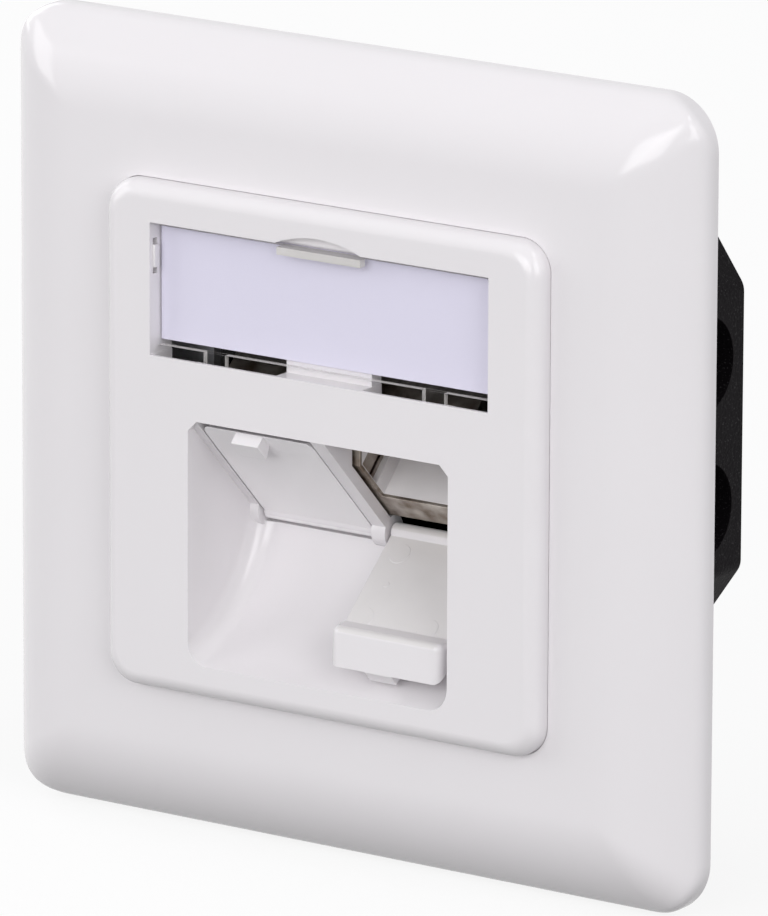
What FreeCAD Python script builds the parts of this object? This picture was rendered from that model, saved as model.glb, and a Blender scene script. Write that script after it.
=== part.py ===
import FreeCAD, Part
import Sketcher
import math
import os

# Flush wall data outlet: a cover frame and centre plate on a steel support plate, two network jacks
# tilted downwards behind hinged dust flaps, and a rear housing that sits in the round wall box.
# X runs to the right, Z up, and the outlet faces -Y. The wall plane is Y = 0, and the origin is
# midway between the two slots for the wall box screws.

SIZES = (
    # how far a cutting sketch runs past the material
    ("margin", 1.0),
    # cover frame
    ("frame_side", 79.2),
    ("frame_corner", 5.5),
    ("frame_height", 6.2),
    ("frame_band", 5.5),
    ("frame_edge", 0.7),
    ("frame_edge_round", 2.6),
    ("frame_wall", 1.8),
    ("lip_width", 2.0),
    ("lip_thickness", 1.6),
    # centre plate
    ("plate_side", 50.0),
    ("plate_corner", 4.5),
    ("plate_gap", 0.25),
    ("plate_front", 8.3),
    ("plate_edge_round", 1.6),
    ("plate_wall", 1.6),
    # label field
    ("window_half", 19.45),
    ("window_bottom", 8.2),
    ("window_top", 21.2),
    ("tray_depth", 2.0),
    ("tray_wall", 1.6),
    ("tongue_half", 4.9),
    ("tray_slot", 1.3),
    ("scoop_half", 4.9),
    ("scoop_height", 1.0),
    ("scoop_depth", 1.1),
    ("catch_height", 17.8),
    ("catch_slot", 3.5),
    ("catch_lug", 2.2),
    ("catch_reach", 0.25),
    ("cover_gap", 0.4),
    ("cover_lift", 0.9),
    ("cover_thickness", 0.7),
    ("cover_lug_place", 12.6),
    ("cover_lug_width", 2.5),
    ("cover_lug_thickness", 0.6),
    ("cover_lug_gap", 0.3),
    ("cover_pivot_drop", 0.5),
    ("cover_pin_radius", 0.25),
    ("cover_pin_length", 0.9),
    ("cover_tab_half", 4.8),
    ("cover_tab_height", 1.2),
    ("cover_tab_reach", 0.8),
    ("card_thickness", 0.3),
    ("card_gap", 0.05),
    # recess for the ports
    ("recess_half", 15.0),
    ("recess_top", 2.4),
    ("recess_bottom", -21.7),
    ("recess_corner", 1.0),
    ("well_wall", 1.4),
    ("floor_start", 20.0),
    ("floor_blend", 2.2),
    ("hinge_y", 3.5),
    ("hinge_z", -8.6),
    ("tilt", 45.0),
    ("port_place", 7.4),
    # dust flaps
    ("flap_width", 12.8),
    ("flap_side_gap", 0.2),
    ("flap_outer", 0.55),
    ("flap_inner", 0.45),
    ("flap_tip_gap", 0.4),
    ("flap_bar", 4.0),
    ("flap_corner", 0.9),
    ("flap_open_angle", 87.0),
    ("barrel_radius", 0.9),
    ("barrel_gap", 0.3),
    ("pin_radius", 0.55),
    ("pin_gap", 0.05),
    ("pin_length", 0.75),
    ("lug_radius", 1.6),
    ("tab_width", 3.1),
    ("tab_reach", 1.3),
    ("tab_thickness", 0.9),
    ("tab_offset", -0.7),
    # jacks
    ("jack_half", 6.95),
    ("jack_bottom", 1.7),
    ("jack_top", 15.0),
    ("jack_front", 0.8),
    ("jack_back", 15.2),
    ("jack_gap", 0.2),
    ("jack_flap_gap", 0.6),
    ("shell_sheet", 0.35),
    ("cavity_half", 5.9),
    ("cavity_bottom", 5.1),
    ("cavity_top", 11.9),
    ("cavity_depth", 11.8),
    ("keyway_half", 3.1),
    ("keyway_top", 14.1),
    ("finger_start", 1.6),
    ("finger_end", 5.4),
    ("finger_low", 7.2),
    ("finger_high", 9.8),
    ("finger_slit", 0.4),
    ("contact_pitch", 1.016),
    ("contact_width", 0.4),
    ("contact_sheet", 0.3),
    ("contact_front", 6.2),
    ("contact_pin", 12.4),
    ("contact_level", 3.8),
    ("contact_angle", 42.0),
    ("contact_rise", 4.2),
    ("pin_setback", 0.1),
    ("contact_clear", 0.15),
    # circuit board
    ("board_thickness", 1.6),
    ("board_clear", 1.3),
    ("board_front", 2.6),
    ("board_back", 17.5),
    ("pin_slot", 0.7),
    ("board_screw_depth", 12.0),
    # wire terminals
    ("block_place", 8.4),
    ("block_half", 7.9),
    ("block_front", 6.6),
    ("block_back", 17.3),
    ("block_height", 8.8),
    ("wire_pitch", 3.6),
    ("wire_slot", 1.0),
    ("wire_slot_depth", 5.8),
    ("row_half", 2.9),
    ("blade_width", 2.2),
    ("blade_sheet", 0.4),
    ("blade_fork", 0.4),
    ("blade_rise", 7.2),
    ("blade_fork_depth", 4.3),
    ("blade_clear", 0.1),
    # support plate
    ("sheet", 1.2),
    ("support_inset", 2.8),
    ("support_cut", 14.0),
    ("support_gap", 0.6),
    ("box_screw_place", 30.0),
    ("slot_length", 8.0),
    ("slot_width", 4.2),
    # fasteners
    ("screw_place", 14.7),
    ("screw_radius", 1.45),
    ("screw_head", 2.8),
    ("screw_head_height", 1.4),
    ("screw_length", 9.0),
    ("screw_clear", 0.05),
    ("boss_radius", 4.0),
    ("housing_screw_inset", 4.9),
    ("housing_screw_rise", 1.1),
    ("small_screw_radius", 1.1),
    ("small_head_radius", 2.0),
    ("small_head_height", 1.1),
    ("small_screw_length", 7.0),
    ("post_radius", 2.6),
    ("post_length", 11.0),
    # rear housing
    ("housing_half", 24.5),
    ("housing_depth", 29.0),
    ("housing_centre", 0.2),
    ("side_half", 13.9),
    ("top_half", 22.5),
    ("corner_run", 6.0),
    ("housing_wall", 1.8),
    ("housing_round", 2.0),
    ("entry_radius", 4.7),
    ("entry_spacing", 14.4),
    ("entry_inset", 7.5),
    ("ledge_clear", 1.3),
    ("ledge_drop", 5.0),
    ("ledge_pilot", 3.8),
)

doc = FreeCAD.newDocument("wall_data_outlet")
dims = doc.addObject("Spreadsheet::Sheet", "dims")
for row, (alias, size) in enumerate(SIZES, 1):
    dims.set("A%d" % row, alias)
    dims.set("B%d" % row, str(size))
    dims.setAlias("B%d" % row, alias)
doc.recompute()


def value(expression):
    """The number that an expression on the sheet gives now."""
    found = dims.evalExpression(expression)
    return float(getattr(found, "Value", found))


def new_body(label):
    body = doc.addObject("PartDesign::Body", label)
    body.Label = label
    body.AllowCompound = True
    return body


def origin_part(body, role):
    return next(item for item in body.Origin.OriginFeatures if item.Role == role)


def new_sketch(body, name, plane, lift="0"):
    """A sketch on one of the body's own planes, lifted along that plane's normal."""
    sketch = body.newObject("Sketcher::SketchObject", name)
    sketch.AttachmentSupport = [(origin_part(body, plane), "")]
    sketch.MapMode = "FlatFace"
    sketch.setExpression("AttachmentOffset.Base.z", lift)
    return sketch


def drive(sketch, constraint, expression):
    index = sketch.addConstraint(constraint)
    sketch.setExpression("Constraints[%d]" % index, expression)


def pin_point(sketch, curve, end, across, along):
    drive(sketch, Sketcher.Constraint("DistanceX", -1, 1, curve, end, value(across)), across)
    drive(sketch, Sketcher.Constraint("DistanceY", -1, 1, curve, end, value(along)), along)


def outline(sketch, corners):
    """A closed outline. Each corner is (across, along), or (across, along, radius, side) where an
    arc of that radius runs on to the next corner and bulges to the left (1) or right (-1)."""
    first = sketch.GeometryCount
    count = len(corners)
    spots = [FreeCAD.Vector(value(corner[0]), value(corner[1]), 0) for corner in corners]
    ends = []
    for index, corner in enumerate(corners):
        start, end = spots[index], spots[(index + 1) % count]
        if len(corner) == 2:
            sketch.addGeometry(Part.LineSegment(start, end))
            ends.append((1, 2))
            continue
        radius, chord = value(corner[2]), end - start
        to_right = FreeCAD.Vector(chord.y, -chord.x, 0).normalize()
        rise = math.sqrt(max(0.0, radius ** 2 - (chord.Length / 2) ** 2))
        centre = (start + end) / 2 + to_right * corner[3] * rise
        begin, finish = (start, end) if corner[3] < 0 else (end, start)
        angles = [math.atan2(spot.y - centre.y, spot.x - centre.x) for spot in (begin, finish)]
        sketch.addGeometry(Part.ArcOfCircle(Part.Circle(centre, FreeCAD.Vector(0, 0, 1), radius), *angles))
        ends.append((1, 2) if corner[3] < 0 else (2, 1))
    for index, corner in enumerate(corners):
        following = (index + 1) % count
        sketch.addConstraint(Sketcher.Constraint(
            "Coincident", first + index, ends[index][1], first + following, ends[following][0]))
    for index, corner in enumerate(corners):
        pin_point(sketch, first + index, ends[index][0], corner[0], corner[1])
        if len(corner) > 2:
            drive(sketch, Sketcher.Constraint("Radius", first + index, value(corner[2])), corner[2])
    return sketch


def rectangle(sketch, left, right, low, high):
    return outline(sketch, [(left, low), (right, low), (right, high), (left, high)])


def strip(sketch, middle, width, low, high):
    """A rectangle of this width, centred on a line."""
    return rectangle(sketch, "%s - %s / 2" % (middle, width), "%s + %s / 2" % (middle, width), low, high)


def rounded_rectangle(sketch, left, right, low, high, radius):
    l, r, b, t, k = ("(%s)" % edge for edge in (left, right, low, high, radius))
    return outline(sketch, [
        (l + "+" + k, b), (r + "-" + k, b, radius, -1), (r, b + "+" + k), (r, t + "-" + k, radius, -1),
        (r + "-" + k, t), (l + "+" + k, t, radius, -1), (l, t + "-" + k), (l, b + "+" + k, radius, -1)])


def circle(sketch, across, along, radius):
    centre = FreeCAD.Vector(value(across), value(along), 0)
    curve = sketch.addGeometry(Part.Circle(centre, FreeCAD.Vector(0, 0, 1), value(radius)))
    pin_point(sketch, curve, 3, across, along)
    drive(sketch, Sketcher.Constraint("Radius", curve, value(radius)), radius)
    return sketch


def feature(kind, sketch, length, both_ways=False, reverse=False):
    """A pad or pocket of the sketch. A pocket has to take material away, a pad has to add some."""
    body = sketch.getParentGeoFeatureGroup()
    before = body.Tip.Shape.Volume if body.Tip else 0.0
    made = body.newObject("PartDesign::" + kind, sketch.Name + "_" + kind.lower())
    made.Profile = sketch
    made.SideType = "Symmetric" if both_ways else "One side"
    made.Reversed = reverse
    made.setExpression("Length", length)
    doc.recompute([sketch, made])
    change = made.Shape.Volume - before
    if (change <= 0) == (kind == "Pad"):
        raise ValueError("%s changed the volume by %.4f" % (made.Name, change))
    return made


def pad(sketch, length, both_ways=False, reverse=False):
    return feature("Pad", sketch, length, both_ways, reverse)


def pocket(sketch, length, both_ways=False, reverse=False):
    return feature("Pocket", sketch, length, both_ways, reverse)


def dress_edges(body, kind, size, amount, wanted):
    """A fillet or chamfer on the edges of the body's last feature that the test wants."""
    base = body.Tip
    names = ["Edge%d" % number for number, edge in enumerate(base.Shape.Edges, 1) if wanted(edge)]
    made = body.newObject("PartDesign::" + kind, base.Name + "_" + kind.lower())
    made.Base = (base, names)
    made.setExpression(size, amount)
    doc.recompute([made])
    return made


def round_edges(body, radius, wanted):
    return dress_edges(body, "Fillet", "Radius", radius, wanted)


def bevel_edges(body, width, wanted):
    return dress_edges(body, "Chamfer", "Size", width, wanted)


def repeat(body, item, length, count):
    """The feature repeated along X, spread over a length that is centred on the first one's side."""
    made = body.newObject("PartDesign::LinearPattern", item.Name + "_row")
    made.Originals = [item]
    made.Direction = (origin_part(body, "X_Axis"), [""])
    made.setExpression("Length", length)
    made.Occurrences = count
    body.Tip = made
    doc.recompute([made])
    return made


def spans(edge, axis):
    """How far an edge reaches along X (0), Y (1) or Z (2)."""
    box = edge.BoundBox
    return (box.XLength, box.YLength, box.ZLength)[axis]


def near(number, expression):
    return abs(number - value(expression)) < 1e-4


def tilted(w, v):
    """Y and Z of a point given in the ports' tilted frame: w runs into the jacks, v up the flaps."""
    return ("dims.hinge_y + (%s) * cos(dims.tilt) - (%s) * sin(dims.tilt)" % (w, v),
            "dims.hinge_z + (%s) * sin(dims.tilt) + (%s) * cos(dims.tilt)" % (w, v))


def set_on_tilt(body, side="0", turn="dims.tilt"):
    """Places a body that was drawn in the ports' tilted frame, with the hinge line as its X axis."""
    body.Placement = FreeCAD.Placement(
        FreeCAD.Vector(), FreeCAD.Rotation(FreeCAD.Vector(1, 0, 0), value(turn)))
    body.setExpression("Placement.Base.x", side)
    body.setExpression("Placement.Base.y", "dims.hinge_y")
    body.setExpression("Placement.Base.z", "dims.hinge_z")
    body.setExpression("Placement.Rotation.Angle", turn)


SIDES = (("left", "-"), ("right", ""))

# Cover frame. The border is one bulged section along each side, mitred at the corners.
FLAT_HALF = "(dims.plate_side / 2 + dims.frame_band)"
BEVEL_RUN = "(dims.frame_side / 2 - dims.frame_edge_round - %s)" % FLAT_HALF
BEVEL_FALL = "(dims.frame_height - dims.frame_edge)"
BEVEL_RADIUS = ("((%s ^ 2 + %s ^ 2 - dims.frame_edge_round ^ 2) / (2 * (%s - dims.frame_edge_round)))"
                % (BEVEL_RUN, BEVEL_FALL, BEVEL_FALL))
BEVEL_SINE = "(%s / (%s - dims.frame_edge_round))" % (BEVEL_RUN, BEVEL_RADIUS)
BEVEL_COSINE = "((%s - %s) / (%s - dims.frame_edge_round))" % (BEVEL_RADIUS, BEVEL_FALL, BEVEL_RADIUS)
BEVEL_END = "(%s + %s * %s)" % (FLAT_HALF, BEVEL_RADIUS, BEVEL_SINE)
BEVEL_END_HEIGHT = "(dims.frame_edge + dims.frame_edge_round * %s)" % BEVEL_COSINE
CORE_RADIUS = "(%s - dims.frame_wall)" % BEVEL_RADIUS
CORE_HALF = "(dims.frame_side / 2 - dims.frame_wall)"
CORE_EDGE = ("(dims.frame_height - %s + sqrt(%s ^ 2 - (%s - %s) ^ 2))"
             % (BEVEL_RADIUS, CORE_RADIUS, CORE_HALF, FLAT_HALF))


def mitred_block(label, half, corner, front, stations):
    """A low block whose front falls away to all four edges. The stations run from the flat front
    out to the edge, each one (distance from the middle, height, radius of the arc that follows)."""
    body = new_body(label)
    rising = [("-" + height, "-" + out) for out, height, radius in reversed(stations)]
    arcs = [radius for out, height, radius in reversed(stations)][1:]
    lower = [spot + (radius, 1) if radius else spot for spot, radius in zip(rising, arcs + [None])]
    falling = [("-" + height, out) + ((radius, 1) if radius else ()) for out, height, radius in stations]
    profile = outline(new_sketch(body, label + "_section", "YZ_Plane"),
                      [("0", "-" + half)] + lower + falling + [("0", half)])
    pad(profile, "2 * %s" % half, both_ways=True)
    waste = new_sketch(body, label + "_waste", "XY_Plane")
    for sign, bulge in (("", 1), ("-", -1)):
        fall = [(sign + out, "-" + height) + ((radius, -bulge) if radius else ())
                for out, height, radius in stations]
        outline(waste, fall + [(sign + "(%s + dims.margin)" % half, fall[-1][1]),
                               (sign + "(%s + dims.margin)" % half, "-(%s + dims.margin)" % front),
                               (fall[0][0], "-(%s + dims.margin)" % front)])
    pocket(waste, "2 * (%s + dims.margin)" % half, both_ways=True)
    corners = new_sketch(body, label + "_corners", "XZ_Plane", front)
    beyond = "(%s + dims.margin)" % half
    rectangle(corners, "-" + beyond, beyond, "-" + beyond, beyond)
    rounded_rectangle(corners, "-" + half, half, "-" + half, half, corner)
    pocket(corners, "%s + dims.margin" % front)
    return body


def make_cover_frame():
    half = "(dims.frame_side / 2)"
    frame = mitred_block("cover_frame", half, "dims.frame_corner", "dims.frame_height", [
        (FLAT_HALF, "dims.frame_height", BEVEL_RADIUS),
        (BEVEL_END, BEVEL_END_HEIGHT, "dims.frame_edge_round"), (half, "dims.frame_edge", None)])
    core = mitred_block("frame_core", CORE_HALF, "(dims.frame_corner - dims.frame_wall)",
                        "(dims.frame_height - dims.frame_wall)", [
                            (FLAT_HALF, "(dims.frame_height - dims.frame_wall)", CORE_RADIUS),
                            (CORE_HALF, CORE_EDGE, None)])
    hollow = frame.newObject("PartDesign::Boolean", "frame_hollow")
    hollow.Type = "Cut"
    hollow.setObjects([core])
    frame.Tip = hollow
    doc.recompute()
    opening = "(dims.plate_side / 2 + dims.plate_gap)"
    radius = "(dims.plate_corner + dims.plate_gap)"
    collar = "(%s + dims.frame_wall)" % opening
    square = new_sketch(frame, "frame_collar", "XZ_Plane", "dims.sheet")
    rounded_rectangle(square, "-" + collar, collar, "-" + collar, collar, radius + " + dims.frame_wall")
    pad(square, "dims.frame_height - dims.frame_wall / 2 - dims.sheet")
    square = new_sketch(frame, "frame_opening", "XZ_Plane", "dims.frame_height")
    rounded_rectangle(square, "-" + opening, opening, "-" + opening, opening, radius)
    pocket(square, "dims.frame_height - dims.sheet - dims.lip_thickness")
    inner = "(%s - dims.lip_width)" % opening
    square = new_sketch(frame, "frame_lip", "XZ_Plane", "dims.sheet + dims.lip_thickness")
    rounded_rectangle(square, "-" + inner, inner, "-" + inner, inner, "dims.plate_corner - dims.lip_width")
    pocket(square, "dims.lip_thickness")
    return frame


# Centre plate: a square cap with the label tray and the well for the ports moulded into it.
PLATE_BACK = "(dims.sheet + dims.lip_thickness)"
PLATE_INSIDE = "(dims.plate_front - dims.plate_wall)"
TRAY_FLOOR = "(dims.plate_front - dims.tray_depth)"
COVER_BACK = "(%s + dims.card_thickness + dims.card_gap)" % TRAY_FLOOR
COVER_FRONT = "(%s + dims.cover_thickness)" % COVER_BACK
PIVOT_HEIGHT = "(%s + dims.cover_thickness / 2)" % COVER_BACK
PIVOT_LEVEL = "(dims.window_bottom - dims.cover_pivot_drop)"
COVER_PIN_PLACE = "(dims.cover_lug_place + dims.cover_lug_width / 2 + dims.cover_pin_length / 2)"
APERTURE_HALF = "(dims.flap_width / 2 + dims.flap_side_gap)"
TRENCH = "(dims.barrel_radius + dims.barrel_gap)"


def add_label_tray(plate):
    edge = "(dims.window_half + dims.tray_wall)"
    tray = new_sketch(plate, "tray_block", "XZ_Plane", TRAY_FLOOR + " - dims.tray_wall")
    rectangle(tray, "-" + edge, edge, "dims.window_bottom - dims.tray_wall",
              "dims.window_top + dims.tray_wall")
    pad(tray, "%s - %s + dims.tray_wall + dims.plate_wall / 2" % (PLATE_INSIDE, TRAY_FLOOR))
    boss = new_sketch(plate, "screw_boss", "XZ_Plane", "dims.sheet")
    circle(boss, "0", "dims.screw_place", "dims.boss_radius")
    pad(boss, "%s - dims.sheet" % TRAY_FLOOR)
    window = new_sketch(plate, "label_opening", "XZ_Plane", "dims.plate_front")
    rectangle(window, "-dims.window_half", "dims.window_half", "dims.window_bottom", "dims.window_top")
    pocket(window, "dims.tray_depth")
    slots = new_sketch(plate, "tray_slots", "XZ_Plane", TRAY_FLOOR)
    for sign in ("-", ""):
        rectangle(slots, sign + "dims.window_half", sign + "dims.tongue_half",
                  "dims.window_bottom", "dims.window_bottom + dims.tray_slot")
    pocket(slots, "dims.tray_wall")
    hooks = new_sketch(plate, "hook_pockets", "XZ_Plane", PIVOT_HEIGHT + " + 2 * dims.cover_lug_gap + "
                       "dims.cover_lug_thickness / 2")
    for sign in ("-", ""):
        middle = sign + "dims.cover_lug_place"
        rectangle(hooks, "%s - dims.cover_lug_width / 2 - dims.cover_lug_gap" % middle,
                  "%s + dims.cover_lug_width / 2 + dims.cover_lug_gap" % middle,
                  "%s - dims.cover_lug_thickness / 2 - dims.cover_lug_gap" % PIVOT_LEVEL,
                  "dims.window_bottom + dims.tray_slot / 2")
    pocket(hooks, "dims.cover_lug_thickness + 4 * dims.cover_lug_gap")
    for name, sign in SIDES:
        bearing = new_sketch(plate, "cover_bearing_" + name, "YZ_Plane", sign + COVER_PIN_PLACE)
        circle(bearing, "-" + PIVOT_HEIGHT, PIVOT_LEVEL, "dims.cover_pin_radius + dims.pin_gap")
        pocket(bearing, "dims.cover_pin_length + 4 * dims.pin_gap", both_ways=True)
    catches = new_sketch(plate, "catch_slots", "XZ_Plane", COVER_FRONT + " + dims.cover_gap")
    for sign in ("-", ""):
        rectangle(catches, sign + "(dims.window_half - dims.catch_reach)", sign + edge,
                  "dims.catch_height - dims.catch_slot / 2", "dims.catch_height + dims.catch_slot / 2")
    pocket(catches, "dims.cover_thickness")
    lugs = new_sketch(plate, "catch_lugs", "XZ_Plane", COVER_BACK + " + dims.cover_gap")
    for sign in ("-", ""):
        rectangle(lugs, sign + "(dims.window_half - dims.catch_reach)", sign + edge,
                  "dims.catch_height - dims.catch_lug / 2", "dims.catch_height + dims.catch_lug / 2")
    pad(lugs, "dims.cover_thickness")
    scoop = new_sketch(plate, "thumb_scoop", "XZ_Plane", "dims.plate_front")
    arch = "(dims.scoop_half ^ 2 + dims.scoop_height ^ 2) / (2 * dims.scoop_height)"
    low = "dims.window_top - dims.scoop_height"
    outline(scoop, [
        ("-dims.scoop_half", low), ("dims.scoop_half", low), ("dims.scoop_half", "dims.window_top", arch, -1),
        ("-dims.scoop_half", "dims.window_top")])
    pocket(scoop, "dims.scoop_depth")
    hole = new_sketch(plate, "screw_hole", "XZ_Plane", TRAY_FLOOR)
    circle(hole, "0", "dims.screw_place", "dims.screw_radius + dims.screw_clear")
    pocket(hole, "%s - dims.sheet" % TRAY_FLOOR)
    sink = new_sketch(plate, "screw_seat", "XZ_Plane", TRAY_FLOOR)
    circle(sink, "0", "dims.screw_place", "dims.screw_head + dims.screw_clear")
    pocket(sink, "dims.screw_head_height + dims.screw_clear")


def well_floor(inset):
    """Ends and radius of the curved floor of the well, from its front edge to under the hinge line,
    moved outwards by the inset."""
    rise = "(dims.hinge_z - %s - dims.recess_bottom)" % TRENCH
    run = "(dims.hinge_y + dims.plate_front)"
    chord_angle = "(atan(%s / %s) / 1 deg)" % (rise, run)
    end_angle = "(2 * %s - dims.floor_start)" % chord_angle
    radius = "(sqrt(%s ^ 2 + %s ^ 2) / 2 / sin(%s - dims.floor_start) + %s)" % (rise, run, chord_angle, inset)
    front = ("-dims.plate_front + %s * sin(dims.floor_start)" % inset,
             "dims.recess_bottom - %s * cos(dims.floor_start)" % inset)
    back = ("dims.hinge_y + %s * sin(%s)" % (inset, end_angle),
            "dims.hinge_z - %s - %s * cos(%s)" % (TRENCH, inset, end_angle))
    return front, back, radius


def up_flap(w, height):
    """How far up the tilted frame a point lies that is w deep and has this height."""
    return "((%s - dims.hinge_z - (%s) * sin(dims.tilt)) / cos(dims.tilt))" % (height, w)


def up_jack(w, depth):
    """How far up the tilted frame a point lies that is w deep and has this Y."""
    return "((dims.hinge_y - (%s) + (%s) * cos(dims.tilt)) / sin(dims.tilt))" % (depth, w)


TIP_HEIGHT = "(dims.recess_top - dims.flap_tip_gap)"
TIP_UP = up_flap("-dims.flap_outer", TIP_HEIGHT)
TIP_FRONT = "(dims.hinge_y - dims.flap_outer * cos(dims.tilt) - %s * sin(dims.tilt))" % TIP_UP
BAR_BACK = "(%s + dims.flap_bar)" % TIP_FRONT
WELL_REAR = "(%s + dims.jack_flap_gap / 2)" % BAR_BACK
JACK_CUT = "(%s + dims.jack_flap_gap)" % BAR_BACK
WELL_BACK = "(dims.jack_front - dims.jack_gap)"
LUG_INNER = "(dims.port_place + %s)" % APERTURE_HALF
LUG_OUTER = "(dims.recess_half + dims.well_wall)"


def add_port_well(plate):
    front, back, radius = well_floor("dims.well_wall")
    top = "dims.recess_top + dims.well_wall"
    block = new_sketch(plate, "well_block", "YZ_Plane")
    outline(block, [
        ("-dims.plate_front", top), ("-dims.plate_front", front[1]), front + (radius, -1), back,
        tilted(WELL_BACK, "-%s - dims.well_wall" % TRENCH), tilted(WELL_BACK, up_jack(WELL_BACK, WELL_REAR)),
        (WELL_REAR, top)])
    pad(block, "2 * " + LUG_OUTER, both_ways=True)
    front, back, radius = well_floor("0")
    outside = "-dims.plate_front - dims.margin"
    recess = new_sketch(plate, "recess", "YZ_Plane")
    outline(recess, [
        (outside, "dims.recess_top"), (outside, "dims.recess_bottom"), front + (radius, -1), back,
        tilted("-dims.flap_outer", TRENCH),
        tilted("-dims.flap_outer", up_flap("-dims.flap_outer", "dims.recess_top"))])
    pocket(recess, "2 * dims.recess_half", both_ways=True)
    round_edges(plate, "dims.floor_blend", is_floor_edge)
    gussets = new_sketch(plate, "recess_corners", "XZ_Plane", PLATE_INSIDE)
    for sign in ("-", ""):
        edge, run = sign + "dims.recess_half", sign + "(dims.recess_half - dims.recess_corner)"
        outline(gussets, [(edge, "dims.recess_top"), (run, "dims.recess_top"),
                          (edge, "dims.recess_top - dims.recess_corner")])
    pad(gussets, "dims.plate_wall")
    for name, sign in SIDES:
        place = sign + "dims.port_place"
        before = "-2 * dims.flap_outer"
        beyond = "%s + dims.jack_front" % WELL_BACK
        aperture = new_sketch(plate, "aperture_" + name, "YZ_Plane", place)
        outline(aperture, [
            tilted(before, "0"), tilted(beyond, "0"), (WELL_REAR + " + dims.margin", "dims.recess_top"),
            tilted(before, up_flap(before, "dims.recess_top"))])
        pocket(aperture, "2 * " + APERTURE_HALF, both_ways=True)
        trench = new_sketch(plate, "trench_" + name, "YZ_Plane", place)
        circle(trench, "dims.hinge_y", "dims.hinge_z", TRENCH)
        pocket(trench, "2 * " + APERTURE_HALF, both_ways=True)
    cheeks = (("middle", "0", "2 * (dims.port_place - %s)" % APERTURE_HALF),
              ("left", "-(%s + %s) / 2" % (LUG_INNER, LUG_OUTER), "%s - %s" % (LUG_OUTER, LUG_INNER)),
              ("right", "(%s + %s) / 2" % (LUG_INNER, LUG_OUTER), "%s - %s" % (LUG_OUTER, LUG_INNER)))
    for name, place, length in cheeks:
        lug = new_sketch(plate, "hinge_lug_" + name, "YZ_Plane", place)
        circle(lug, "dims.hinge_y", "dims.hinge_z", "dims.lug_radius")
        pad(lug, length, both_ways=True)
    for name, place, length in cheeks:
        hole = new_sketch(plate, "pin_hole_" + name, "YZ_Plane", place)
        circle(hole, "dims.hinge_y", "dims.hinge_z", "dims.pin_radius + dims.pin_gap")
        pocket(hole, length, both_ways=True)


def is_floor_edge(edge):
    """The curved edges along both sides of the well's floor."""
    return (edge.Curve.TypeId == "Part::GeomCircle" and spans(edge, 0) < 1e-6
            and near(abs(edge.BoundBox.XMin), "dims.recess_half"))


def make_centre_plate():
    plate = new_body("centre_plate")
    half = "(dims.plate_side / 2)"
    square = new_sketch(plate, "plate_cap", "XZ_Plane", PLATE_BACK)
    rounded_rectangle(square, "-" + half, half, "-" + half, half, "dims.plate_corner")
    pad(square, "dims.plate_front - " + PLATE_BACK)
    inner = "(%s - dims.plate_wall)" % half
    square = new_sketch(plate, "plate_hollow", "XZ_Plane", PLATE_BACK)
    rounded_rectangle(square, "-" + inner, inner, "-" + inner, inner, "dims.plate_corner - dims.plate_wall")
    pocket(square, "%s - %s" % (PLATE_INSIDE, PLATE_BACK), reverse=True)
    add_port_well(plate)
    add_label_tray(plate)
    round_edges(plate, "dims.plate_edge_round", is_plate_rim)


def is_plate_rim(edge):
    """The edges round the outside of the plate's front face."""
    box = edge.BoundBox
    reach = max(box.XMax, -box.XMin, box.ZMax, -box.ZMin)
    on_front = spans(edge, 1) < 1e-6 and near(box.YMin, "-dims.plate_front")
    return on_front and near(reach, "dims.plate_side / 2")


# Clear label cover, which tilts out on two lugs at its lower edge, and the paper card behind it.
def make_label_window():
    cover = new_body("label_window")
    half = "(dims.window_half - dims.cover_gap)"
    low = "(dims.window_bottom + dims.cover_lift)"
    high = "(dims.window_top - dims.cover_gap)"
    pane = new_sketch(cover, "cover_pane", "XZ_Plane", COVER_BACK)
    rectangle(pane, "-" + half, half, low, high)
    pad(pane, "dims.cover_thickness")
    tab = new_sketch(cover, "cover_tab", "XZ_Plane", COVER_FRONT)
    rectangle(tab, "-dims.cover_tab_half", "dims.cover_tab_half", high + " - dims.cover_tab_height", high)
    pad(tab, "dims.cover_tab_reach")
    lugs = new_sketch(cover, "cover_lugs", "XZ_Plane", PIVOT_HEIGHT + " - dims.cover_lug_thickness / 2")
    for sign in ("-", ""):
        middle = sign + "dims.cover_lug_place"
        rectangle(lugs, "%s - dims.cover_lug_width / 2" % middle, "%s + dims.cover_lug_width / 2" % middle,
                  PIVOT_LEVEL, low)
    pad(lugs, "dims.cover_lug_thickness")
    for name, sign in SIDES:
        pivot = new_sketch(cover, "cover_pivot_" + name, "YZ_Plane", sign + "dims.cover_lug_place")
        circle(pivot, "-" + PIVOT_HEIGHT, PIVOT_LEVEL, "dims.cover_lug_thickness / 2")
        pad(pivot, "dims.cover_lug_width", both_ways=True)
        pin = new_sketch(cover, "cover_pin_" + name, "YZ_Plane", sign + COVER_PIN_PLACE)
        circle(pin, "-" + PIVOT_HEIGHT, PIVOT_LEVEL, "dims.cover_pin_radius")
        pad(pin, "dims.cover_pin_length", both_ways=True)


def make_label_card():
    card = new_body("label_card")
    half = "(dims.window_half - dims.cover_gap)"
    sheet = new_sketch(card, "card_sheet", "XZ_Plane", TRAY_FLOOR)
    rectangle(sheet, "-" + half, half,
              "dims.window_bottom + dims.tray_slot", "dims.window_top - dims.cover_gap")
    pad(sheet, "dims.card_thickness")


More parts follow.
